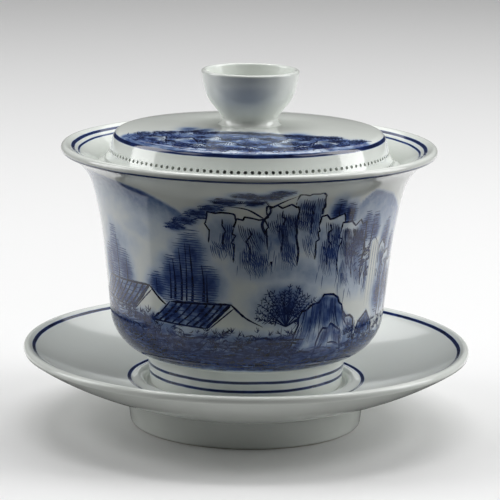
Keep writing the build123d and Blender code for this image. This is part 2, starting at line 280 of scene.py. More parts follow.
# %% The potter's wheel as a node tree
def wheel_tree():
    tree = new_tree(
        "Potters wheel",
        [
            ("Section points", "NodeSocketInt"),
            ("Steps round", "NodeSocketInt"),
            ("Section length", "NodeSocketFloat"),
            ("Glaze", "NodeSocketMaterial"),
        ],
    )
    source = add(tree, "NodeGroupInput").outputs
    rows = calc(tree, "ADD", source["Steps round"], 1.0)
    grid = add(tree, "GeometryNodeMeshGrid", {"Vertices X": source["Section points"], "Vertices Y": rows})
    here = add(tree, "GeometryNodeInputPosition").outputs[0]
    place = add(tree, "ShaderNodeSeparateXYZ", {0: here}).outputs
    across = calc(tree, "ADD", place[0], 0.5)
    round_ = calc(tree, "ADD", place[1], 0.5)
    last = calc(tree, "SUBTRACT", source["Section points"], 1.0)
    index = calc(tree, "ROUND", calc(tree, "MULTIPLY", across, last))
    sample = add(
        tree,
        "GeometryNodeSampleIndex",
        {"Geometry": source["Geometry"], "Value": here, "Index": index},
        data_type="FLOAT_VECTOR",
    ).outputs[0]
    section = add(tree, "ShaderNodeSeparateXYZ", {0: sample}).outputs
    angle = calc(tree, "MULTIPLY_ADD", round_, 2 * math.pi, math.pi / 2)
    # the section mesh holds the distance along itself in Y, in metres
    along = calc(tree, "DIVIDE", section[1], source["Section length"])
    chart = add(tree, "ShaderNodeCombineXYZ", {0: round_, 1: along}).outputs[0]
    marked = add(
        tree,
        "GeometryNodeStoreNamedAttribute",
        {"Geometry": grid.outputs[0], "Name": "OFBake", "Value": chart},
        data_type="FLOAT2",
        domain="CORNER",
    ).outputs[0]
    marked = add(
        tree,
        "GeometryNodeStoreNamedAttribute",
        {"Geometry": marked, "Name": "along", "Value": calc(tree, "DIVIDE", section[1], MM)},
        data_type="FLOAT",
        domain="POINT",
    ).outputs[0]
    moved = swung(tree, section[0], angle, section[2])
    turned = add(tree, "GeometryNodeSetPosition", {"Geometry": marked, "Position": moved}).outputs[0]
    closed = add(tree, "GeometryNodeMergeByDistance", {"Geometry": turned, "Distance": 1e-6}).outputs[0]
    smoothed = add(tree, "GeometryNodeSetShadeSmooth", {"Geometry": closed}).outputs[0]
    send_out(tree, smoothed, source["Glaze"])
    return tree


WHEEL = wheel_tree()
print("wheel tree:", len(WHEEL.nodes), "nodes")


# %% Throwing a piece
def along_section(section):
    """Distance along a section, point by point, in millimetres."""
    steps = np.linalg.norm(np.diff(np.array(section), axis=0), axis=1)
    return np.concatenate([[0], np.cumsum(steps)])


def throw(name, section, steps, glaze):
    """Turns a section into a closed piece."""
    distance = along_section(section)
    points = [(r * MM, d * MM, z * MM) for (r, z), d in zip(section, distance)]
    mesh = bpy.data.meshes.new(name)
    mesh.from_pydata(points, [(i, i + 1) for i in range(len(points) - 1)], [])
    piece = bpy.data.objects.new(name, mesh)
    bpy.context.scene.collection.objects.link(piece)
    values = {
        "Section points": len(points),
        "Steps round": steps,
        "Section length": float(distance[-1] * MM),
        "Glaze": glaze,
    }
    run_tree(piece, WHEEL, values)
    print(f"{name}: {len(piece.data.vertices)} vertices, {len(piece.data.polygons)} faces")
    return piece


# %% [markdown]
# The glaze is one shiny, faintly green-grey white. Cobalt under it runs from a pale wash to almost black
# where the brush was full. Every ring round a piece is a band of the distance along its section, with a
# slight hand wobble, so it stays crisp at any size; the landscape's washes come from an attribute painted on
# the points.


# %% Colours
def srgb(r, g, b):
    """A colour given as the eye sees it, 0 to 255, turned to the linear values that a shader uses."""
    shares = (r / 255, g / 255, b / 255)
    return (*(v / 12.92 if v <= 0.04045 else ((v + 0.055) / 1.055) ** 2.4 for v in shares), 1.0)


PORCELAIN = srgb(226, 230, 225)
BISCUIT = srgb(205, 200, 188)
COBALT = [
    (0.0, PORCELAIN),
    (0.16, srgb(188, 201, 216)),
    (0.4, srgb(114, 136, 174)),
    (0.64, srgb(54, 76, 130)),
    (0.82, srgb(24, 42, 92)),
    (1.0, srgb(10, 15, 44)),
]


def cobalt_ramp(tree, tone):
    """Colour of the cobalt for a tone from 0, bare porcelain, to 1, a full brush."""
    ramp = add(tree, "ShaderNodeValToRGB", {0: tone})
    ramp.color_ramp.elements[0].color = COBALT[0][1]
    ramp.color_ramp.elements[1].color = COBALT[-1][1]
    for place, colour in COBALT[1:-1]:
        ramp.color_ramp.elements.new(place).color = colour
    return ramp.outputs[0]


def object_noise(tree, scale, detail=3.0):
    """Noise fixed to the piece."""
    where = add(tree, "ShaderNodeTexCoord").outputs["Object"]
    return add(tree, "ShaderNodeTexNoise", {"Vector": where, "Scale": scale, "Detail": detail}).outputs[0]


# %% What every fired surface shares
GLAZE_IOR = 1.52
COAT, COAT_ROUGHNESS = 0.12, 0.07


def new_material(name):
    """A material with its node tree and its main shader."""
    material = bpy.data.materials.new(name)
    material.use_nodes = True
    return material, material.node_tree, material.node_tree.nodes["Principled BSDF"]


def glaze_roughness(tree):
    """Gloss that varies a little from place to place, as a fired glaze does."""
    return calc(tree, "MULTIPLY_ADD", object_noise(tree, 40.0), 0.05, 0.07)


def glass_over(shader):
    """The clear glass of the glaze over whatever colour lies below it."""
    shader.inputs["IOR"].default_value = GLAZE_IOR
    shader.inputs["Coat Weight"].default_value = COAT
    shader.inputs["Coat Roughness"].default_value = COAT_ROUGHNESS


# %% The glaze
RING_SOFTNESS = 0.12


def near(section, radius, height):
    """Distance along a section at the point nearest to this radius and height."""
    gaps = [math.dist(p, (radius, height)) for p in section]
    return float(along_section(section)[int(np.argmin(gaps))])


def glaze(name, rings, bare=()):
    """Porcelain glaze. Each ring is (place along the section, width, tone); each bare span is unglazed."""
    material, tree, shader = new_material(name)
    along = add(tree, "ShaderNodeAttribute", attribute_name="along").outputs["Fac"]
    wobble = calc(tree, "MULTIPLY_ADD", object_noise(tree, 90.0), 0.36, -0.18)
    hand = calc(tree, "ADD", along, wobble)
    wash = add(tree, "ShaderNodeAttribute", attribute_name="wash").outputs["Fac"]
    grain = calc(tree, "MULTIPLY_ADD", object_noise(tree, 520.0, 5.0), 0.9, 0.55)
    tone = calc(tree, "MULTIPLY", wash, grain)
    streaks = calc(tree, "MULTIPLY_ADD", object_noise(tree, 260.0), 0.5, 0.75)
    for place, width, strength in rings:
        away = calc(tree, "ABSOLUTE", calc(tree, "SUBTRACT", hand, place))
        fade = {
            "Value": away,
            "From Min": width / 2 + RING_SOFTNESS,
            "From Max": width / 2 - RING_SOFTNESS,
            "To Min": 0.0,
            "To Max": strength,
        }
        inside = add(tree, "ShaderNodeMapRange", fade, interpolation_type="SMOOTHSTEP").outputs[0]
        tone = calc(tree, "MAXIMUM", tone, calc(tree, "MULTIPLY", inside, streaks))
    colour = cobalt_ramp(tree, calc(tree, "MINIMUM", tone, 1.0))
    rough = glaze_roughness(tree)
    for start, end in bare:
        middle, half = (start + end) / 2, (end - start) / 2
        mask = calc(tree, "COMPARE", hand, middle, half)
        rough = add(tree, "ShaderNodeMix", {0: mask, 2: rough, 3: 0.62}).outputs[0]
        colour = add(tree, "ShaderNodeMix", {0: mask, 6: colour, 7: BISCUIT}, data_type="RGBA").outputs[2]
    tree.links.new(colour, shader.inputs["Base Color"])
    tree.links.new(rough, shader.inputs["Roughness"])
    waves = object_noise(tree, 150.0, 2.0)
    ripple = add(tree, "ShaderNodeBump", {"Height": waves, "Strength": 0.06, "Distance": 0.0004})
    tree.links.new(ripple.outputs[0], shader.inputs["Normal"])
    glass_over(shader)
    return material


# %% Rings and bare rims for each piece
SAUCER_GLAZE = glaze(
    "saucer_glaze",
    [(near(SAUCER, 55.6, 20.1), 0.95, 0.9), (near(SAUCER, 30.4, 11.6), 0.9, 0.84)],
    [(near(SAUCER, 29.8, 0.0) - 0.2, near(SAUCER, 27.0, 0.0) + 0.2)],
)
BOWL_GLAZE = glaze(
    "bowl_glaze",
    [
        (near(BOWL, 43.9, 71.1), 0.55, 0.8),
        (near(BOWL, 45.6, 72.4), 0.95, 0.86),
        (near(BOWL, 48.3, 71.6), 0.7, 0.84),
        (near(BOWL, 25.6, 16.0), 0.7, 0.88),
        (near(BOWL, 25.4, 13.6), 0.7, 0.88),
    ],
    [(near(BOWL, 24.8, 10.2) - 0.2, near(BOWL, 22.4, 10.2) + 0.2)],
)
LID_GLAZE = glaze("lid_glaze", [(near(LID, 34.78, 75.98), 1.0, 0.9)])
KNOB_GLAZE = glaze("knob_glaze", [])
print("glazes made")

# %% Throw the four pieces
saucer = throw("saucer_thrown", SAUCER, 360, SAUCER_GLAZE)
bowl = throw("bowl_thrown", BOWL, 348, BOWL_GLAZE)
lid = throw("lid_thrown", LID, 396, LID_GLAZE)
knob = throw("knob_thrown", KNOB, 160, KNOB_GLAZE)

# %% [markdown]
# The strainer is two rings of fine holes, one square to the lid's wall and one, half a step round, square to
# the cove below it. A potter pierces them one by one into the damp clay. Here a tree instances one pin round
# each ring and cuts them all at once, so the number, size and lean of the holes stay named inputs.


# %% The piercing as a node tree
PIN_SIDES = 14
CRISP_FROM = 35  # an edge stays crisp from this angle on, in degrees


def piercing_tree():
    tree = new_tree(
        "Piercing",
        [
            ("Holes", "NodeSocketInt"),
            ("Hole diameter", "NodeSocketFloat"),
            ("Pin length", "NodeSocketFloat"),
            ("Radius", "NodeSocketFloat"),
            ("Height", "NodeSocketFloat"),
            ("Lean", "NodeSocketFloat"),
            ("Start", "NodeSocketFloat"),
            ("Glaze", "NodeSocketMaterial"),
        ],
    )
    source = add(tree, "NodeGroupInput").outputs
    line = add(tree, "GeometryNodeMeshLine", {"Count": source["Holes"]}).outputs[0]
    number = calc(tree, "ADD", add(tree, "GeometryNodeInputIndex").outputs[0], source["Start"])
    angle = calc(tree, "DIVIDE", calc(tree, "MULTIPLY", number, 2 * math.pi), source["Holes"])
    spot = swung(tree, source["Radius"], angle, source["Height"])
    spots = add(tree, "GeometryNodeSetPosition", {"Geometry": line, "Position": spot}).outputs[0]
    pin_radius = calc(tree, "MULTIPLY", source["Hole diameter"], 0.5)
    pin_sizes = {"Vertices": PIN_SIDES, "Radius": pin_radius, "Depth": source["Pin length"]}
    pin = add(tree, "GeometryNodeMeshCylinder", pin_sizes).outputs[0]
    turn = add(tree, "ShaderNodeCombineXYZ", {0: 0.0, 1: source["Lean"], 2: angle}).outputs[0]
    pins = add(
        tree, "GeometryNodeInstanceOnPoints", {"Points": spots, "Instance": pin, "Rotation": turn}
    ).outputs[0]
    solid_pins = add(tree, "GeometryNodeRealizeInstances", {"Geometry": pins}).outputs[0]
    cut = add(tree, "GeometryNodeMeshBoolean", operation="DIFFERENCE", solver="MANIFOLD")
    tree.links.new(source["Geometry"], cut.inputs["Mesh 1"])
    tree.links.new(solid_pins, cut.inputs["Mesh 2"])
    corner = add(tree, "GeometryNodeInputMeshEdgeAngle").outputs[0]
    round_edge = add(
        tree,
        "FunctionNodeCompare",
        {0: corner, 1: math.radians(CRISP_FROM)},
        data_type="FLOAT",
        operation="LESS_THAN",
    ).outputs[0]
    crisp = add(
        tree,
        "GeometryNodeSetShadeSmooth",
        {"Geometry": cut.outputs[0], "Shade Smooth": round_edge},
        domain="EDGE",
    ).outputs[0]
    send_out(tree, crisp, source["Glaze"])
    return tree


PIERCING = piercing_tree()
print("piercing tree:", len(PIERCING.nodes), "nodes")

# %% Pierce the lid
HOLES = 132
HOLE_DIAMETER = 0.9
HOLE_MARGIN = 0.35
PIN_LENGTH = 3.8
WALL_LEAN, COVE_LEAN = -WALL_SLOPE, 50
COVE_TOP = polar(COVE, -COVE_BEND, WALL_SLOPE)
RISE = HOLE_DIAMETER / 2 + HOLE_MARGIN
LEAN = math.radians(WALL_LEAN)
ABOVE = (COVE_TOP[0] - RISE * math.cos(LEAN), COVE_TOP[1] + RISE * math.sin(LEAN))
UPPER = polar(ABOVE, -LID_WALL / 2, WALL_SLOPE)
LOWER = polar(COVE, -(COVE_BEND + LID_WALL / 2), -COVE_LEAN)
for (radius, height), lean, start in ((UPPER, WALL_LEAN, 0.5), (LOWER, COVE_LEAN, 0.0)):
    values = {
        "Holes": HOLES,
        "Hole diameter": HOLE_DIAMETER * MM,
        "Pin length": PIN_LENGTH * MM,
        "Radius": float(radius * MM),
        "Height": float(height * MM),
        "Lean": math.radians(lean),
        "Start": start,
        "Glaze": LID_GLAZE,
    }
    run_tree(lid, PIERCING, values)
    print("pierced lid:", len(lid.data.vertices), "vertices", len(lid.data.polygons), "faces")

# %% [markdown]
# A fired lid is one closed skin, but the cuts leave needles with no area along the rims of the holes. The
# faces are cut into triangles first, and then points closer together than a fifth of a micrometre are
# joined, which takes the needles away and leaves every hole as it was.

# %% Clear the needles
NEEDLE = 2e-7
skin = bmesh.new()
skin.from_mesh(lid.data)
bmesh.ops.triangulate(skin, faces=[face for face in skin.faces if len(face.verts) > 3])
bmesh.ops.dissolve_degenerate(skin, dist=NEEDLE, edges=skin.edges)
skin.to_mesh(lid.data)
skin.free()
print("lid cleared of needles:", len(lid.data.polygons), "faces")

# %% [markdown]
# The landscape is brushed round the bowl and on the lid. A painter lays pale washes first and then draws
# over them with a fine brush. Here the washes are a value on the glaze's points, which keeps them soft, and
# each brush stroke is a thin tapered ribbon laid just on the glaze, which keeps it crisp from any distance.
# The scene itself is of plain kinds, such as hills, pines, cottages and rocks, each drawn by a small
# function with its own marks.


# %% A scroll: the surface unrolled, with its washes and strokes
BAND_REACH = 0.7  # a point belongs to the band when it is nearer than this, in millimetres
SHORTEST_STROKE = 0.25
STROKE_STEP = 0.75


def within(s, h, corners):
    """Whether each point lies inside a closed outline."""
    inside = np.zeros(len(s), bool)
    for (s0, h0), (s1, h1) in zip(corners, np.roll(corners, -1, axis=0)):
        if h0 != h1:
            inside ^= ((h0 > h) != (h1 > h)) & (s < s0 + (h - h0) * (s1 - s0) / (h1 - h0))
    return inside


class Scroll:
    """A band of a turned piece laid flat: s in millimetres round it, h in millimetres up its section."""

    def __init__(self, piece, band, radius, first_height, seed):
        self.piece = piece
        self.radius = radius
        self.half = math.pi * radius
        self.band = np.array(softened(band))
        self.run = along_section(self.band) + first_height
        self.rng = np.random.default_rng(seed)
        self.strokes = []
        self.covers = []
        points = np.empty(len(piece.data.vertices) * 3)
        piece.data.vertices.foreach_get("co", points)
        points = points.reshape(-1, 3) / MM
        ring = np.hypot(points[:, 0], points[:, 1])
        gap = np.full(len(points), 9.0)
        height = np.zeros(len(points))
        for (r, z), run in zip(self.band, self.run):
            away = np.hypot(ring - r, points[:, 2] - z)
            closer = away < gap
            gap[closer] = away[closer]
            height[closer] = run
        self.index = np.flatnonzero(gap < BAND_REACH)
        self.points = points[self.index]
        self.h = height[self.index]
        self.s = self.wrap((np.arctan2(self.points[:, 1], self.points[:, 0]) + math.pi / 2) * radius)
        self.paint = np.zeros(len(self.index))

    def wrap(self, s):
        """The same place round the piece, counted from the front."""
        return (s + self.half) % (2 * self.half) - self.half

    def mottle(self, size, stretch=(1, 1, 1)):
        """Uneven density, from 0 to 1, without a seam round the piece."""
        total = np.zeros(len(self.points))
        for _ in range(7):
            way = self.rng.normal(size=3)
            way *= 2 * math.pi / (size * self.rng.uniform(0.7, 1.6)) / np.linalg.norm(way)
            total += np.sin((self.points * np.array(stretch)) @ way + self.rng.uniform(0, 2 * math.pi))
        return np.clip(0.5 + total / 6, 0, 1)

    def area(self, corners, soft=1.0):
        """How far inside a closed outline each point lies, from 0 outside to 1, with a soft edge."""
        corners = np.array(corners, float)
        middle = corners[:, 0].mean()
        s = self.wrap(self.s - middle) + middle
        away = np.full(len(s), 99.0)
        for (s0, h0), (s1, h1) in zip(corners, np.roll(corners, -1, axis=0)):
            length = (s1 - s0) ** 2 + (h1 - h0) ** 2 + 1e-9
            t = np.clip(((s - s0) * (s1 - s0) + (self.h - h0) * (h1 - h0)) / length, 0, 1)
            away = np.minimum(away, np.hypot(s - s0 - t * (s1 - s0), self.h - h0 - t * (h1 - h0)))
        depth = np.where(within(s, self.h, corners), away, -away) / soft
        t = np.clip(0.5 + depth / 2, 0, 1)
        return t * t * (3 - 2 * t)

    def oval(self, s, h, width, height):
        """A soft oval spot."""
        reach = ((self.wrap(self.s - s)) / width) ** 2 + ((self.h - h) / height) ** 2
        return np.exp(-1.6 * reach)

    def wash(self, mask, tone):
        """Lays a pale wash where the mask is full."""
        self.paint = np.maximum(self.paint, mask * tone)

    def lift(self, mask):
        """Wipes the washes away where the mask is full."""
        self.paint = self.paint * (1 - mask)

    def cover(self, corners):
        """Hides what was drawn before inside this outline."""
        self.covers.append((len(self.strokes), np.array(corners, float)))

    def stroke(self, points, width, tone, press="taper"):
        """One brush stroke through two or more points; "edge" keeps their corners sharp."""
        p = np.array(points, float)
        steps = np.concatenate([[0], np.cumsum(np.linalg.norm(np.diff(p, axis=0), axis=1))])
        if steps[-1] < SHORTEST_STROKE:
            return
        count = max(4, math.ceil(steps[-1] / STROKE_STEP) + 1)
        t = np.linspace(0, steps[-1], count)
        if press == "edge":
            t = np.unique(np.concatenate([t, steps]))
            count = len(t)
        if len(p) == 2 or press == "edge":
            line = np.stack([np.interp(t, steps, p[:, 0]), np.interp(t, steps, p[:, 1])], 1)
        else:
            pad = np.vstack([2 * p[0] - p[1], p, 2 * p[-1] - p[-2]])
            at = np.clip(np.searchsorted(steps, t, side="right") - 1, 0, len(p) - 2)
            u = ((t - steps[at]) / np.maximum(steps[at + 1] - steps[at], 1e-6))[:, None]
            a, b, c, d = pad[at], pad[at + 1], pad[at + 2], pad[at + 3]
            line = 0.5 * (
                2 * b + (c - a) * u + (2 * a - 5 * b + 4 * c - d) * u**2 + (3 * b - a - 3 * c + d) * u**3
            )
        u = t / steps[-1]
        if press == "leaf":
            weight = np.sin(math.pi * np.clip(u, 0.04, 0.96)) ** 0.6
        elif press in ("even", "edge"):
            weight = np.clip(np.minimum(u, 1 - u) / 0.08, 0.35, 1)
        else:
            weight = np.clip(u / 0.1, 0.4, 1) * (1 - 0.85 * u**1.4)
        weight = weight * self.rng.uniform(0.85, 1.15, count)
        dry = np.clip(tone * self.rng.uniform(0.92, 1.08, count), 0.05, 1)
        self.strokes.append((line, width * weight, dry))

    def place(self, s, h):
        """Points and outward directions on the piece, in millimetres."""
        ring = np.interp(h, self.run, self.band[:, 0])
        height = np.interp(h, self.run, self.band[:, 1])
        slope_r = np.interp(h, self.run, np.gradient(self.band[:, 0], self.run))
        slope_z = np.interp(h, self.run, np.gradient(self.band[:, 1], self.run))
        angle = s / self.radius - math.pi / 2
        point = np.stack([ring * np.cos(angle), ring * np.sin(angle), height], 1)
        size = np.hypot(slope_r, slope_z)
        out = np.stack([slope_z * np.cos(angle), slope_z * np.sin(angle), -slope_r], 1) / size[:, None]
        return point, out


# %% Leaves, broad trees and pines
def leaves(on, s, h, width, height, count, length, tone, lean=0.0, thick=0.3):
    """Short marks inside an oval, as leaves seen from afar."""
    for _ in range(count):
        angle, reach = on.rng.uniform(0, 2 * math.pi), on.rng.uniform() ** 0.5
        x, y = s + width * reach * math.cos(angle), h + height * reach * math.sin(angle)
        half = length * on.rng.uniform(0.3, 0.6)
        rise = (lean + on.rng.normal(0, 0.14)) * half
        bow = on.rng.uniform(-0.12, 0.2) * length
        thickness = thick * on.rng.uniform(0.7, 1.3)
        mark = [(x - half, y - rise), (x, y + bow), (x + half, y + rise)]
        on.stroke(mark, thickness, tone * on.rng.uniform(0.75, 1.08), "leaf")


def tall_tree(on, s, foot, top, spread, tone=0.8, stems=1):
    """A broad soft mass of foliage under fine level lines, with dark upright stems."""
    rise = top - foot
    middle = foot + 0.56 * rise
    on.wash(on.oval(s, middle, spread * 1.3, rise * 0.52) * (0.75 + 0.4 * on.mottle(5)), 0.95 * tone)
    for h in np.arange(foot + 0.12 * rise, top, 0.62):
        share = abs(h - middle) / (0.5 * rise)
        half = spread * math.sqrt(max(0.04, 1 - share**2)) * on.rng.uniform(0.55, 1.05)
        drift = on.rng.normal(0, 0.35)
        bow = on.rng.normal(0, 0.12)
        mark = [(s + drift - half, h), (s + drift, h + bow), (s + drift + half, h)]
        on.stroke(mark, 0.24, 0.95 * tone, "leaf")
    for _ in range(stems):
        x = s + on.rng.uniform(-0.5, 0.5) * spread
        sway = on.rng.normal(0, 0.25)
        on.stroke([(x, foot - 0.5), (x + sway, middle), (x + sway * 0.4, foot + 0.85 * rise)], 0.6, 1.0)


def pine(on, s, h, width, height=1.6, tone=0.85):
    """A flat cloud of needles with a dark under-edge."""
    on.wash(on.oval(s, h, width * 1.15, height * 1.35), 0.92 * tone)
    leaves(on, s, h, width, height, round(10 * width), 1.7, tone, 0.05, 0.24)
    for _ in range(round(1.6 * width)):
        x = s + width * on.rng.uniform(-0.95, 0.95)
        for turn in (-1.2, -0.6, 0.0, 0.6, 1.2):
            tip = (x + 1.3 * math.sin(turn), h - height * 0.35 + 0.9 * math.cos(turn))
            on.stroke([(x, h - height * 0.35), tip], 0.22, tone)


def trunk(on, points, width=1.1, tone=0.97):
    """A crooked trunk, darker on one side."""
    on.stroke(points, width, tone)
    on.stroke([(s + 0.45 * width, h) for s, h in points], 0.3, tone)


# %% [markdown]
# A cliff in this kind of painting is a row of upright shafts. Each stands a little in front of the last, so
# each first hides what was drawn where it stands, then gets a bold broken edge, bundles of falling lines and
# a shade that fades into mist towards its foot.


# %% Cliffs
def column(on, left, right, top, drop, tone=0.9, lean=0.0):
    """One shaft of a cliff: jagged on top, bold down its right edge, hatched inside, lost in mist below."""
    wide = right - left
    crown = [(left, top - on.rng.uniform(1.6, 3.2))]
    for share in (0.05, 0.22, 0.34, 0.5, 0.72, 0.86):
        crown.append(((left + (share + on.rng.uniform(-0.05, 0.05)) * wide), top + on.rng.uniform(-0.9, 0.7)))
    crown += [(right - 0.3, top - 0.4), (right, top - on.rng.uniform(2.0, 3.4))]
    body = [*crown, (right + lean, top - drop), (left + lean, top - drop)]
    on.cover([*crown, (right + lean, top - 0.7 * drop), (left + lean, top - 0.7 * drop)])
    across = np.clip((on.wrap(on.s - left)) / wide, 0, 1)
    down = np.clip((top - on.h) / drop, 0, 1)
    mask = on.area(body, 0.8)
    on.lift(mask * (1 - down))
    shelf = np.clip((top - on.h) / 4.0, 0.3, 1)
    face = shelf * (0.42 + 0.34 * across**1.5 + 0.25 * on.mottle(3.2, (1, 1, 0.35)))
    on.wash(mask * face * (1 - down**2.2), 0.6)
    on.stroke(crown, 0.5, min(1, tone * 1.15), "edge")
    fold = left + wide * on.rng.uniform(0.35, 0.65)
    edges = [(left, 0.55, 0.42), (right, 0.75, 0.62), (fold, 0.6, 0.45)]
    for side, share, width in edges:
        start = top - on.rng.uniform(1.2, 2.6)
        fall = drop * share * on.rng.uniform(0.75, 1.0)
        kinks = [(side, start)]
        for part in (0.16, 0.2, 0.42, 0.47, 0.74, 1.0):
            kinks.append((side + lean * part * share + on.rng.normal(0, 0.4), start - fall * part))
        on.stroke(kinks, width, min(1, tone * 1.1), "edge")
    for _ in range(max(4, round(wide * drop / 13))):
        depth = on.rng.uniform(0.0, 0.62)
        x, y = left + wide * on.rng.uniform(0.02, 0.75), top - 0.9 - depth * drop
        curl, length = on.rng.normal(0.9, 0.6), drop * on.rng.uniform(0.12, 0.3)
        for line in range(int(on.rng.integers(4, 9))):
            a = x + 0.55 * line
            if a > right - 0.25:
                break
            y0 = y - 0.12 * line + on.rng.normal(0, 0.18)
            mark = [(a, y0), (a + 0.3 * curl, y0 - length * 0.5), (a + curl, y0 - length)]
            on.stroke(mark, 0.25, tone * (0.95 - 0.45 * depth))
    for _ in range(round(wide * 1.3)):
        x = left + wide * on.rng.uniform(0.05, 0.95)
        y = top - drop * on.rng.uniform(0.45, 0.85)
        tip = (x + on.rng.normal(0, 0.3), y - drop * on.rng.uniform(0.08, 0.2))
        on.stroke([(x, y), tip], 0.28, tone * 0.6)


# %% Cottages
def part_way(start, end, share):
    """The point this share of the way from one point to another."""
    return np.array(start) + (np.array(end) - np.array(start)) * share


def cottage(on, s, h, width, rise, gable=1):
    """A tiled roof seen at an angle, with a pale gable and two bold rafters at its right (1) or left (-1)."""

    def flip(points):
        return [(s + gable * (x - s), y) for x, y in points]

    apex = (s + 0.3 * width, h + rise)
    back = (s - 0.5 * width, h + rise * 0.92)
    foot = (s + 0.3 * width - rise * 1.05, h)
    eave = (s - 0.5 * width - rise * 1.0, h + 0.1 * rise)
    far_foot = (s + 0.3 * width + rise * 1.35, h + 0.12 * rise)
    roof = flip([back, apex, foot, eave])
    sill = h - 0.75 * rise
    wall = flip([apex, far_foot, (far_foot[0] - 1.2, sill), (foot[0] + 1.2, sill), foot])
    for outline in (roof, wall):
        on.cover(outline)
        on.lift(on.area(outline, 0.5))
    on.wash(on.area(roof, 0.9) * (0.6 + 0.7 * on.mottle(4)), 0.6)
    on.wash(on.area(wall, 1.2) * np.clip((h + 0.1 * rise - on.h) / rise, 0, 1), 0.8)
    count = round(width / 2.9)
    for i in range(count + 1):
        share = i / count + on.rng.normal(0, 0.008)
        start, stop = part_way(back, apex, share), part_way(eave, foot, share)
        bow = (start + stop) / 2 + (0.25, -0.25)
        on.stroke(flip([tuple(start), tuple(bow), tuple(stop)]), on.rng.uniform(0.4, 0.65), 0.97, "even")
    for share in (0.2, 0.38, 0.56, 0.76):
        course = [tuple(part_way(back, eave, share)), tuple(part_way(apex, foot, share))]
        on.stroke(flip(course), 0.22, 0.7, "even")
    on.stroke(flip([back, apex]), 0.6, 1.0, "even")
    on.stroke(flip([eave, foot]), 0.45, 0.95, "even")
    sag = ((apex[0] + far_foot[0]) / 2 - 0.4, (apex[1] + far_foot[1]) / 2 - 0.5)
    on.stroke(flip([apex, sag, far_foot]), 0.75, 1.0)
    on.stroke(flip([apex, foot]), 0.85, 1.0, "even")
    on.stroke(flip([(apex[0] + 0.9, apex[1] - 1.0), (foot[0] + 1.1, foot[1] + 0.1)]), 0.35, 0.95, "even")


# %% Rocks and bushes
def rock(on, outline, tone=0.95):
    """A boulder: a bold ragged outline, folds fanning down from its top, and a paler belly."""
    pts = np.array(outline, float)
    on.cover(pts)
    on.lift(on.area(pts, 0.7))
    peak, low = pts[np.argmax(pts[:, 1])], pts[:, 1].min()
    wide, tall = np.ptp(pts[:, 0]), peak[1] - low
    belly = on.oval(pts[:, 0].mean() + 0.08 * wide, low + 0.3 * tall, 0.3 * wide, 0.28 * tall)
    shade = on.area(pts, 0.9) * (0.5 + 0.7 * on.mottle(4, (1.6, 1.6, 0.6))) * (1 - 0.85 * belly)
    on.wash(shade, 0.58)
    ragged = []
    for a, b in zip(pts[:-1], pts[1:]):
        first_third = (2 * a + b) / 3 + on.rng.normal(0, 0.35, 2)
        second_third = (a + 2 * b) / 3 + on.rng.normal(0, 0.35, 2)
        ragged += [tuple(a), tuple(first_third), tuple(second_third)]
    on.stroke([*ragged, tuple(pts[-1])], 0.6, tone, "edge")
    for _ in range(round(1.4 * wide) + 6):
        corner = pts[on.rng.integers(1, len(pts) - 1)] + (on.rng.uniform(-1.5, 1.5), 0)
        start = corner + (peak - corner) * on.rng.uniform(0.05, 0.6) - (0, 0.5)
        fall = on.rng.uniform(0.25, 0.75) * (start[1] - low)
        drift = (corner[0] - peak[0]) * on.rng.uniform(0.1, 0.5)
        bow = (start[0] + drift * 0.25, start[1] - fall * 0.5)
        mark = [tuple(start), bow, (start[0] + drift, start[1] - fall)]
        on.stroke(mark, on.rng.uniform(0.22, 0.42), tone * on.rng.uniform(0.6, 0.95))


def bush(on, s, h, width, height, count=9, tone=0.88):
    """Branches fanning from a low root, each with side twigs that end in leaf dabs."""
    on.wash(on.oval(s, h + 0.1 * height, width * 1.1, height * 1.15) * (0.75 + 0.5 * on.mottle(4)), 0.6)
    root = (s, h - height * 0.85)
    for i in range(count):
        angle = -1.35 + 2.7 * (i + on.rng.uniform(0.1, 0.9)) / count
        reach = on.rng.uniform(0.75, 1.0)
        tip = (s + width * reach * math.sin(angle), root[1] + 1.8 * height * reach * math.cos(angle))
        bow = (0.5 * (root[0] + tip[0]) + on.rng.normal(0, 0.35), 0.5 * (root[1] + tip[1]) + 0.3)
        on.stroke([root, bow, tip], 0.32, tone)
        for share in np.linspace(0.35, 1.0, max(3, round(height * 1.3))):
            x, y = root[0] + (tip[0] - root[0]) * share, root[1] + (tip[1] - root[1]) * share
            for turn in (-0.85, 0.0, 0.85):
                way = angle + turn + on.rng.normal(0, 0.2)
                long = on.rng.uniform(0.7, 1.4)
                on.stroke([(x, y), (x + long * math.sin(way), y + long * math.cos(way))], 0.24, tone, "leaf")


# %% Ground, scrub, far hills and falling water
def ground(on, start, end, low, high, count, tone=0.95):
    """Dark earth: a full wash under long level strokes, ragged along both edges."""
    body = [(start, low), (end, low), (end, high), (start, high)]
    deep = np.clip(1.1 - np.abs(on.h - (low + 0.42 * (high - low))) / (high - low), 0, 1)
    on.wash(on.area(body, 2.0) * deep * (0.62 + 0.5 * on.mottle(7, (1, 1, 2.2))), tone)
    for _ in range(count):
        s = on.rng.uniform(start, end)
        h = low + (high - low) * on.rng.beta(1.7, 1.8)
        half = on.rng.uniform(0.6, 3.2)
        rise = on.rng.normal(0.15, 0.5)
        mark = [(s - half, h - rise * 0.4), (s, h + on.rng.normal(0, 0.35)), (s + half, h + rise)]
        on.stroke(mark, on.rng.uniform(0.25, 0.6), tone * on.rng.uniform(0.62, 1.06), "leaf")


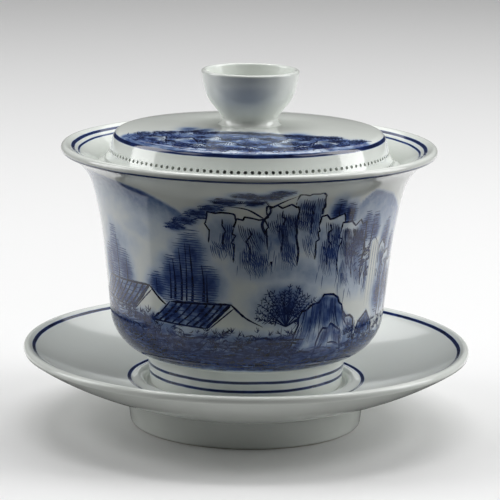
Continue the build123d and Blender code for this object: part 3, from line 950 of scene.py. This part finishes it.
def scrub(on, start, end, low, high, count, tone=0.95):
    """Tangled twigs over the ground's upper edge."""
    for _ in range(count):
        s, h = on.rng.uniform(start, end), on.rng.uniform(low, high)
        for turn in on.rng.uniform(-1.4, 1.4, 5):
            long = on.rng.uniform(0.9, 2.0)
            tip = (s + long * math.sin(turn), h + long * math.cos(turn))
            middle = ((s + tip[0]) / 2 + on.rng.normal(0, 0.2), (h + tip[1]) / 2)
            on.stroke([(s, h), middle, tip], 0.26, tone * on.rng.uniform(0.8, 1.05))


def far_hill(on, ridge, depth, tone=0.5):
    """A hill in the mist: a wash that is firm along its ridge and fades below it."""
    ridge = np.array(ridge, float)
    middle = ridge[:, 0].mean()
    s = on.wrap(on.s - middle) + middle
    below = np.interp(s, ridge[:, 0], ridge[:, 1]) - on.h
    sides = np.clip((s - ridge[0][0]) / 4, 0, 1) * np.clip((ridge[-1][0] - s) / 4, 0, 1)
    firm = np.clip(below / 0.9 + 0.5, 0, 1)
    on.wash(firm * sides * np.exp(-np.clip(below, 0, None) / depth) * (0.7 + 0.4 * on.mottle(12)), tone)


def waterfall(on, s, high, low, width):
    """Bare porcelain that arches over a ledge and falls in a few pale lines."""
    body = [(s - width / 2, high), (s + width / 2, high), (s + width * 0.65, low), (s - width * 0.65, low)]
    on.cover(body)
    on.lift(on.area(body, 0.8))
    ledge = [(s - width * 0.9, high - 1.5), (s - width * 0.2, high + 0.4), (s + width * 0.5, high - 2.5)]
    on.stroke(ledge, 0.35, 0.85)
    for side in (-0.55, -0.2, 0.15, 0.5):
        x = s + side * width * 0.8
        on.stroke([(x, high - 0.6), (x + 0.4 * side, (high + low) / 2), (x + 0.8 * side, low)], 0.24, 0.5)


# %% [markdown]
# Cobalt lies under the glaze, so a stroke can't be felt. Each one becomes a ribbon two or three hundredths
# of a millimetre above the skin, with the skin's own direction for its shading, so it shines as the glaze
# does. Each ribbon lies a hair above the one before, so that no two share one place, and what was painted
# over is left out.

# %% Washes and strokes become parts of the piece
RIBBON_LIFT = 0.02
RIBBON_LAYERS = 0.012
CELL_MARGIN = 0.1


def hidden(number, line, covers):
    """Whether each point of a stroke lies under something painted later."""
    out = np.zeros(len(line), bool)
    for after, corners in covers:
        apart = line[:, 0].max() < corners[:, 0].min() or line[:, 0].min() > corners[:, 0].max()
        if number >= after or apart:
            continue
        out |= within(line[:, 0], line[:, 1], corners)
    return out


def lay_washes(on):
    """Writes the washes on the piece's points for the glaze to read."""
    layer = on.piece.data.attributes.new("wash", "FLOAT", "POINT")
    values = np.zeros(len(on.piece.data.vertices), np.float32)
    values[on.index] = np.clip(on.paint, 0, 1)
    layer.data.foreach_set("value", values)


def lay_strokes(on, name, low, high):
    """Makes one mesh of ribbons from the strokes that show, each with its own cell of the chart."""
    shown = []
    for number, (line, width, tone) in enumerate(on.strokes):
        keep = ~hidden(number, line, on.covers) & (line[:, 1] > low) & (line[:, 1] < high)
        edges = np.flatnonzero(np.diff(np.concatenate([[0], keep.astype(int), [0]])))
        for start, stop in zip(edges[::2], edges[1::2]):
            if stop - start >= 2:
                shown.append((line[start:stop], width[start:stop], tone[start:stop]))
    cells = math.ceil(len(shown) ** 0.5)
    verts, normals, tones, faces, chart = [], [], [], [], []
    first = 0
    for number, (line, width, tone) in enumerate(shown):
        way = np.gradient(line, axis=0)
        way /= np.linalg.norm(way, axis=1)[:, None] + 1e-9
        side = np.stack([-way[:, 1], way[:, 0]], 1) * width[:, None] / 2
        left, out_left = on.place(*(line + side).T)
        right, out_right = on.place(*(line - side).T)
        both = np.empty((2 * len(line), 3))
        out = np.empty_like(both)
        both[0::2], both[1::2] = left, right
        out[0::2], out[1::2] = out_left, out_right
        verts.append(both + out * (RIBBON_LIFT + RIBBON_LAYERS * number / len(shown)))
        normals.append(out)
        tones.append(np.repeat(tone, 2))
        u0, v0 = (number % cells + CELL_MARGIN) / cells, (number // cells + CELL_MARGIN) / cells
        dv = (1 - 2 * CELL_MARGIN) / cells
        du = dv / (len(line) - 1)
        for i in range(len(line) - 1):
            a = first + 2 * i
            faces.append((a, a + 1, a + 3, a + 2))
            u = u0 + i * du
            chart += [(u, v0 + dv), (u, v0), (u + du, v0), (u + du, v0 + dv)]
        first += 2 * len(line)
    mesh = bpy.data.meshes.new(name)
    mesh.from_pydata([tuple(p) for p in np.vstack(verts) * MM], [], faces)
    tone_layer = mesh.attributes.new("tone", "FLOAT", "POINT")
    tone_layer.data.foreach_set("value", np.concatenate(tones).astype(np.float32))
    mesh.uv_layers.new(name="OFBake").data.foreach_set("uv", np.array(chart, np.float32).ravel())
    mesh.shade_smooth()
    mesh.normals_split_custom_set_from_vertices([tuple(n) for n in np.vstack(normals)])
    mesh.materials.append(BRUSHED)
    piece = bpy.data.objects.new(name, mesh)
    bpy.context.scene.collection.objects.link(piece)
    print(f"{name}: {len(shown)} strokes, {len(faces)} faces")
    return piece


def brushed_cobalt():
    """Cobalt under the same glaze, its tone read from the strokes."""
    material, tree, shader = new_material("brushed_cobalt")
    tone = add(tree, "ShaderNodeAttribute", attribute_name="tone").outputs["Fac"]
    uneven = calc(tree, "MULTIPLY_ADD", object_noise(tree, 700.0, 4.0), 0.5, 0.72)
    tree.links.new(cobalt_ramp(tree, calc(tree, "MULTIPLY", tone, uneven)), shader.inputs["Base Color"])
    tree.links.new(glaze_roughness(tree), shader.inputs["Roughness"])
    glass_over(shader)
    return material


BRUSHED = brushed_cobalt()

# %% Paint the bowl, far things first
BOWL_UNROLLED = 40.0
wall = Scroll(bowl, OUTSIDE[::-1], BOWL_UNROLLED, 15.0, 11)
far_hill(wall, [(-62, 66), (-52, 72), (-41, 71), (-27, 67.5), (-14, 61)], 6.5, 0.62)
far_hill(wall, [(28, 62), (34, 68), (44, 65), (56, 58), (66, 60)], 8.0, 0.58)
far_hill(wall, [(58, 58), (74, 69), (84, 66), (97, 70), (112, 60)], 8.0, 0.55)
far_hill(wall, [(104, 62), (118, 68), (134, 71), (150, 64)], 7.0, 0.5)
far_hill(wall, [(-116, 60), (-96, 67), (-84, 62), (-70, 66)], 7.0, 0.5)
for s, h, width, height, tone in (
    (-42, 52, 12, 6, 0.3), (-30, 57, 10, 4, 0.22), (-16, 47, 14, 7, 0.25), (6, 49, 16, 4.5, 0.4),
    (22, 47, 14, 5, 0.36), (45, 46, 12, 6, 0.34), (88, 46, 18, 6, 0.3), (-90, 46, 20, 6, 0.3),
    (122, 48, 16, 5, 0.28),
):
    wall.wash(wall.oval(s, h, width, height) * (0.7 + 0.5 * wall.mottle(9)), tone)

print("far hills washed on", len(wall.index), "points")

# %% Pines and cliffs
for s, h, width in ((-19, 58.6, 3.2), (-16, 60.6, 3.6), (-12.5, 62.6, 3.8), (-9, 64.2, 3.0)):
    pine(wall, s, h, width, 1.2, 0.78)
trunk(wall, [(-9, 61.5), (-13, 61.3), (-17, 59)], 0.45, 0.85)
for left, right, top, drop in (
    (-10.5, -3, 63.2, 14), (-3.6, 5.6, 61.6, 17), (11.6, 19, 68.6, 19), (4.4, 12.6, 65.4, 21),
):
    column(wall, left, right, top, drop, 0.92, 0.6)
trunk(wall, [(4.8, 57), (3.4, 60.5), (5.4, 64), (3.6, 67.4)], 0.75)
trunk(wall, [(3.6, 62), (-0.5, 64.4), (-6, 65.2)], 0.5)
trunk(wall, [(4.9, 64.5), (9, 67), (11.5, 68.4)], 0.5)
for s, h, width in ((-5.4, 66.4, 3.8), (-0.6, 68.4, 3.6), (4.6, 68.2, 3.6), (7.6, 69.6, 2.8), (1.4, 66.4, 2.6)):
    pine(wall, s, h, width, 1.1, 0.92)
for s, top, spread in ((24, 66.5, 2.4), (27.5, 65, 2.4)):
    tall_tree(wall, s, 57, top, spread, 0.92)
for left, right, top, drop in ((18.4, 26.4, 61.5, 19), (25.4, 34.6, 59.2, 22)):
    column(wall, left, right, top, drop, 0.95, 0.5)
for s, foot, top, spread in ((34.5, 51, 62, 2.6), (38.5, 51, 61, 2.6), (46, 46, 58, 3.0), (52, 43, 54, 2.8)):
    tall_tree(wall, s, foot, top, spread, 0.85)
for left, right, top, drop in ((35, 38, 51, 14), (43, 47, 52, 16), (46.6, 51, 49, 15), (50.6, 55.5, 46.5, 13)):
    column(wall, left, right, top, drop, 0.85)
for s, h in ((31, 52), (33.5, 48), (36, 50)):
    leaves(wall, s, h, 2.4, 2.6, 26, 1.2, 0.95, 0.4, 0.34)
waterfall(wall, 40.4, 53.5, 36, 4.2)
print("with pines and cliffs:", len(wall.strokes), "strokes")

# %% Groves, cottages, a bush and rocks
for s, foot, top, spread in ((-49, 37, 50, 4.2), (-44.5, 37, 56, 3.8), (-39.5, 37, 50, 4.0)):
    tall_tree(wall, s, foot, top, spread, 0.7)
for s, foot, top, spread in ((-26, 36, 46, 4.0), (-20.5, 36, 51, 5.0), (-15.5, 36, 58, 5.2), (-11, 36, 49, 4.6)):
    tall_tree(wall, s, foot, top, spread, 0.74)
for s, top in ((-20.6, 50), (-18.6, 53), (-15.4, 54), (-12.2, 49)):
    wall.stroke([(s, 36.5), (s + 0.4, 44), (s - 0.1, top)], 0.85, 1.0)
cottage(wall, -37, 35, 26, 7.0)
cottage(wall, -11, 32.6, 22, 6.6)
bush(wall, 11, 38.6, 9.5, 6.2, 17)
boulder = [(12, 24), (13.4, 31), (15.5, 37.2), (19, 38.8), (22, 41), (26.8, 39.8), (29, 36), (33.6, 33.4)]
rock(wall, [*boulder, (36, 24)])
rock(wall, [(20, 24), (21.5, 31), (25, 33.2), (28.6, 31), (30.5, 24)], 0.85)
rock(wall, [(34, 24), (36, 32), (39.8, 34.5), (43, 31.2), (45, 24)])
for s, top in ((45.5, 43), (50, 45), (55, 42)):
    tall_tree(wall, s, 32, top, 2.8, 0.9)
print("with groves and cottages:", len(wall.strokes), "strokes")

# %% Round the sides and the back
for left, right, top, drop in (
    (66, 71, 59, 16), (70.4, 77, 65, 21), (76.4, 83, 63.5, 21), (82.4, 90, 58.5, 17),
    (-118, -112, 55, 15), (-112.6, -106, 60, 19), (-106.6, -100, 56, 16),
):
    column(wall, left, right, top, drop, 0.88, 0.5)
for s, h, width in ((69, 65.5, 3.6), (76, 68.4, 3.6), (84, 63.6, 3.2), (-110, 62.4, 4.2), (-103, 59.6, 3.4)):
    pine(wall, s, h, width, 1.2, 0.9)
for s, foot, top, spread in (
    (61, 36, 49, 3.0), (65, 36, 52, 3.2), (93, 38, 54, 3.2), (97.5, 38, 58, 3.6),
    (102, 38, 52, 3.0), (119, 36, 50, 3.2), (-123, 37, 51, 3.0), (-92, 37, 52, 3.2),
    (-87.5, 37, 56, 3.6), (-70, 37, 50, 3.0), (-65.5, 37, 54, 3.4), (-61, 37, 50, 3.0),
):
    tall_tree(wall, s, foot, top, spread, 0.84, 2)
cottage(wall, 80, 33.5, 21, 5.4, -1)
cottage(wall, -79, 33, 21, 5.4)
bush(wall, -98, 37, 7.5, 4.8, 12)
bush(wall, 113, 36.5, 7.0, 4.6, 12)
rock(wall, [(93, 24), (95, 33), (99, 38), (103, 36), (107, 31), (109, 24)])
rock(wall, [(-124, 24), (-122, 33), (-118, 36.5), (-113, 35), (-109, 31), (-107, 24)])
print("with the sides and the back:", len(wall.strokes), "strokes")

# %% The ground in front of it all
for start, end, low, high in (
    (-62, -28, 18.5, 35), (-32, 14, 18, 32), (8, 64, 17.5, 28), (60, 124, 18, 31), (-125, -58, 18, 32),
):
    ground(wall, start, end, low, high, round(7.0 * (end - start)))
for start, end, low, high, count in (
    (-62, -26, 26, 35.5, 200), (-28, 14, 25, 32, 130), (30, 64, 25, 32, 120), (60, 124, 25, 32.5, 190),
    (-125, -60, 25, 32.5, 200),
):
    scrub(wall, start, end, low, high, count)
lay_washes(wall)
bowl_painting = lay_strokes(wall, "bowl_painting", 16.0, 72.5)

# %% Paint the lid
DOME = bend(SHOULDER, SHOULDER_BEND, -50, DOME_SLOPE, 0.4) + smooth(
    [polar(SHOULDER, SHOULDER_BEND, DOME_SLOPE), (SEAT_RADIUS, SEAT)], DOME_SLOPE + 180, 180
)
DOME_UNROLLED = 30.0
dome = Scroll(lid, DOME, DOME_UNROLLED, 0.0, 23)
for s, h, width in ((-31, 17, 7), (-24, 19, 6), (3, 19.5, 9), (20, 15.5, 6)):
    dome.wash(dome.oval(s, h, width, 3.2) * (0.6 + 0.6 * dome.mottle(6)), 0.46)
for s in np.arange(-35.0, 33.0, 2.5):
    # the landscape ends along a level line that runs across the front of the dome
    chord = 13.6 + 2.8 * s / 34
    edge = 34.7 - chord / math.cos(s / DOME_UNROLLED) - 0.6
    if edge > 1.5:
        ground(dome, s - 2, s + 2, -1.6, edge, round(2.0 * edge), 0.68)
        bush(dome, s, edge - 1.6 + dome.rng.normal(0, 0.8), 2.8, 1.8, 7, 0.95)
print("lid ground:", len(dome.strokes), "strokes")

# %% Hills on the lid, far ones first
for s, h in (
    (-12, 12.5), (1, 13.5), (13, 11), (-27, 6.5), (-19, 9), (-6, 8), (7, 8), (20, 6.5),
    (-13, 4.5), (0, 3.8), (13, 4),
):
    left_side, right_side = [(s - 5.5, h - 3), (s - 3, h - 0.2)], [(s + 2.6, h), (s + 5.4, h - 3)]
    hill = [*left_side, (s - 1, h + 0.4), (s + 0.4, h + 1.5), *right_side]
    dome.cover(hill)
    dome.lift(0.85 * dome.area(hill, 1.0))
    fall = np.clip((h + 1.6 - dome.h) / 5, 0.1, 1)
    dome.wash(dome.area(hill, 0.8) * fall * (0.3 + 1.1 * dome.mottle(4)), 0.72)
    dome.stroke(hill, 0.5, 1.0, "edge")
    for turn in np.linspace(-1.1, 1.1, 9):
        long = dome.rng.uniform(0.7, 2.4)
        dome.stroke([(s + 2.2 * turn, h + 0.7 - abs(turn)), (s + 3.4 * turn, h - 0.4 - long)], 0.3, 0.9)
    bush(dome, s + 5.2, h - 0.8, 2.4, 1.7, 7, 1.0)
    leaves(dome, s - 4.5, h - 0.6, 1.9, 1.2, 22, 1.1, 1.0, 0.2, 0.42)
scrub(dome, -32, 26, 0.8, 3.6, 170, 0.95)
lay_washes(dome)
lid_painting = lay_strokes(dome, "lid_painting", 0.35, 22)

# %% [markdown]
# Ride and replace: each piece stands for its node of the solid model and moves with the same body, so the
# bowl and the lid lift as they do there.

# %% Ride on the bodies
for piece, body, node, slot_name in (
    (saucer, "saucer", "saucer", "saucer_porcelain"),
    (bowl, "bowl", "bowl", "bowl_porcelain"),
    (lid, "lid", "lid", "lid_porcelain"),
    (knob, "lid", "lid_knob", "knob_porcelain"),
):
    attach(piece, body)
    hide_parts(node)
for painting, body, slot_name in (
    (bowl_painting, "bowl", "bowl_porcelain"),
    (lid_painting, "lid", "lid_porcelain"),
):
    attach(painting, body)
print("riding on the bodies: 4 thrown pieces and 2 paintings")

# %% [markdown]
# The studio is a plain pale table with soft boxes at both sides and behind, and little light from the front,
# so the white glaze is drawn by its reflections.

# %% Table
NEAR_TABLE, FAR_TABLE = 0.09, 5.0


def table_top():
    """A pale table in three parts that differ only in what light they give the object."""
    material, _, shader = new_material("pale_table")
    shader.inputs["Base Color"].default_value = srgb(232, 232, 232)
    shader.inputs["Roughness"].default_value = 0.55
    shader.inputs["Specular IOR Level"].default_value = 0.2
    # only the table close by throws light up, and only the table behind is mirrored: the front stays dark
    for name, inner, outer, start, stop in (
        ("table_near", 0.0, NEAR_TABLE, -180, 180),
        ("table_front", NEAR_TABLE, FAR_TABLE, -165, -15),
        ("table_back", NEAR_TABLE, FAR_TABLE, -15, 195),
    ):
        arc = np.radians(np.linspace(start, stop, round(abs(stop - start) / 3) + 1))
        rings = [[(reach * math.cos(t), reach * math.sin(t), 0.0) for t in arc] for reach in (outer, inner)]
        if inner == 0.0:
            verts, faces = rings[0][:-1], [tuple(range(len(arc) - 1))]
        else:
            verts, count = rings[0] + rings[1], len(arc)
            faces = [(i + count, i, i + 1, i + 1 + count) for i in range(count - 1)]
        mesh = bpy.data.meshes.new(name)
        mesh.from_pydata(verts, [], faces)
        mesh.materials.append(material)
        table = bpy.data.objects.new(name, mesh)
        bpy.context.scene.collection.objects.link(table)
        table.visible_diffuse = name == "table_near"
        table.visible_glossy = name == "table_back"


table_top()


# %% Lights
def soft_box(name, place, target, width, height, power):
    """An area light that faces the target."""
    data = bpy.data.lights.new(name, "AREA")
    data.shape = "RECTANGLE"
    data.size, data.size_y = width, height
    data.energy = power
    light = bpy.data.objects.new(name, data)
    light.location = place
    direction = np.array(target, float) - np.array(place, float)
    light.rotation_euler = Vector(direction).to_track_quat("-Z", "Y").to_euler()
    bpy.context.scene.collection.objects.link(light)


CENTRE = (0, 0, 0.05)
soft_box("left_box", (-0.72, 0.1, 0.42), CENTRE, 0.4, 0.6, 3.3)
soft_box("right_box", (0.72, 0.06, 0.45), CENTRE, 0.4, 0.7, 4.6)
soft_box("left_fill", (-0.62, -0.3, 0.8), CENTRE, 0.3, 0.3, 0.7)
soft_box("right_fill", (0.62, -0.3, 0.8), CENTRE, 0.3, 0.3, 0.7)
soft_box("back_box", (0.2, 1.0, 1.0), CENTRE, 1.4, 0.5, 2.7)
soft_box("top_box", (0.05, 0.3, 1.25), (0.05, 0.1, 0), 1.2, 0.45, 10.5)
world = bpy.data.worlds.new("studio")
world.use_nodes = True
background = world.node_tree.nodes["Background"]
background.inputs[0].default_value = srgb(200, 200, 198)
background.inputs[1].default_value = 0.07
bpy.context.scene.world = world
bpy.context.scene.view_settings.view_transform = "Standard"

# %% [markdown]
# The camera is a long lens a little above the table, which keeps the rims' ovals flat, with a very small
# roll.

# %% Camera
LOOK_DOWN = 11.584
ROLL = 0.8785
camera_data = bpy.data.cameras.new("camera")
camera_data.sensor_width = 36.0
camera_data.lens = 193.8
camera_data.shift_x = 0.0045
camera = bpy.data.objects.new("camera", camera_data)
camera.location = (0, -0.685, 0.1858)
camera.rotation_mode = "XYZ"
pitch = Matrix.Rotation(math.radians(90 - LOOK_DOWN), 4, "X")
roll = Matrix.Rotation(math.radians(ROLL), 4, "Z")
camera.matrix_world = Matrix.Translation(camera.location) @ pitch @ roll
bpy.context.scene.collection.objects.link(camera)
bpy.context.scene.camera = camera
